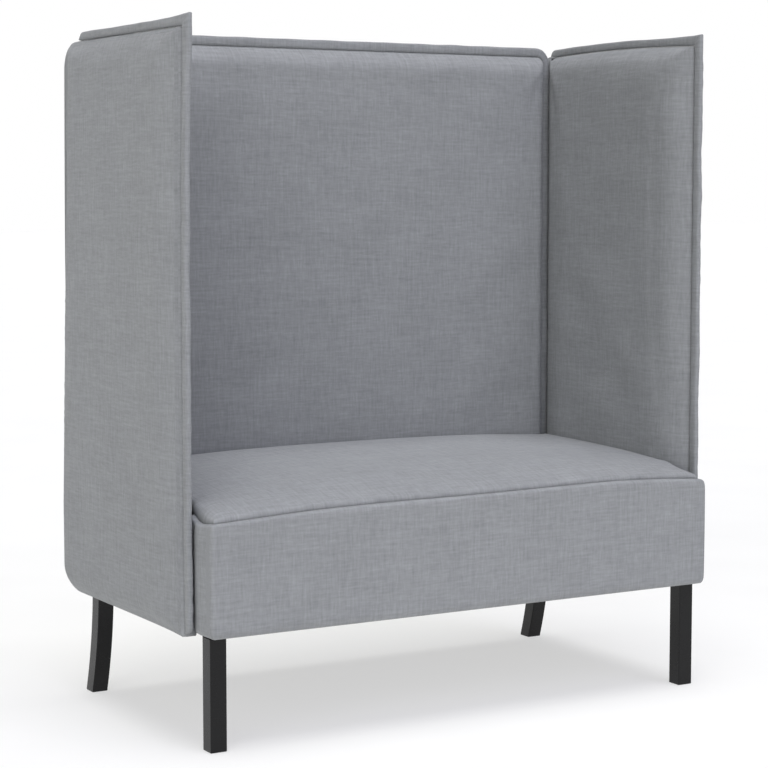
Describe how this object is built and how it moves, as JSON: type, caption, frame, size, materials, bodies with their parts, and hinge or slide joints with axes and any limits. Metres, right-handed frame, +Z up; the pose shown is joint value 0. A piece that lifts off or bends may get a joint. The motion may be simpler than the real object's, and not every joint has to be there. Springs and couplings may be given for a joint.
{
  "type": "sofa",
  "caption": "High-back upholstered sofa with tall side wings, flanged seams, a crowned tight seat and square black legs, the rear ones sabre-curved.",
  "frame": {"origin": "middle of the footprint, on the floor under the glides", "axes": "+Z up, the sofa faces -Y, +X towards the right when looking at its front"},
  "size_m": [1.1696, 0.593, 1.293],
  "materials": {
    "grey_fabric": "matte woven melange upholstery cloth",
    "foam": "open-cell upholstery foam, hidden",
    "timber": "planed unfinished frame timber, hidden",
    "black_paint": "black painted hardwood, satin",
    "glide_plastic": "moulded black plastic",
    "zinc_steel": "zinc plated",
    "webbing": "woven elastic webbing, hidden",
    "dust_cloth": "black non-woven lining"
  },
  "bodies": {
    "root": {"seat_top_cover": "grey_fabric", "seat_border": "grey_fabric", "back_inner_cover": "grey_fabric", "back_outer_cover": "grey_fabric", "back_flange": "grey_fabric", "left_wing_inner_cover": "grey_fabric", "left_wing_outer_cover": "grey_fabric", "left_wing_flange": "grey_fabric", "right_wing_inner_cover": "grey_fabric", "right_wing_outer_cover": "grey_fabric", "right_wing_flange": "grey_fabric", "seat_foam": "foam", "back_inner_foam": "foam", "back_outer_foam": "foam", "left_wing_inner_foam": "foam", "left_wing_outer_foam": "foam", "right_wing_inner_foam": "foam", "right_wing_outer_foam": "foam", "seat_front_rail": "timber", "seat_rear_rail": "timber", "seat_left_rail": "timber", "seat_right_rail": "timber", "back_left_post": "timber", "back_right_post": "timber", "back_top_rail": "timber", "back_bottom_rail": "timber", "seat_front_left_post": "timber", "seat_front_right_post": "timber", "seat_rear_left_post": "timber", "seat_rear_right_post": "timber", "left_wing_front_post": "timber", "left_wing_rear_post": "timber", "left_wing_top_rail": "timber", "left_wing_bottom_rail": "timber", "right_wing_front_post": "timber", "right_wing_rear_post": "timber", "right_wing_top_rail": "timber", "right_wing_bottom_rail": "timber", "leg_front_left": "black_paint", "leg_front_right": "black_paint", "leg_rear_left": "black_paint", "leg_rear_right": "black_paint", "glide_front_left": "glide_plastic", "glide_front_right": "glide_plastic", "glide_rear_left": "glide_plastic", "glide_rear_right": "glide_plastic", "back_left_bolt": "zinc_steel", "back_right_bolt": "zinc_steel", "leg_bolt_front_left": "zinc_steel", "leg_bolt_front_right": "zinc_steel", "leg_bolt_rear_left": "zinc_steel", "leg_bolt_rear_right": "zinc_steel", "left_wing_front_bolt": "zinc_steel", "left_wing_rear_bolt": "zinc_steel", "right_wing_front_bolt": "zinc_steel", "right_wing_rear_bolt": "zinc_steel", "seat_strap_1": "webbing", "seat_strap_2": "webbing", "seat_strap_3": "webbing", "seat_dust_cover": "dust_cloth"}
  },
  "joints": []
}
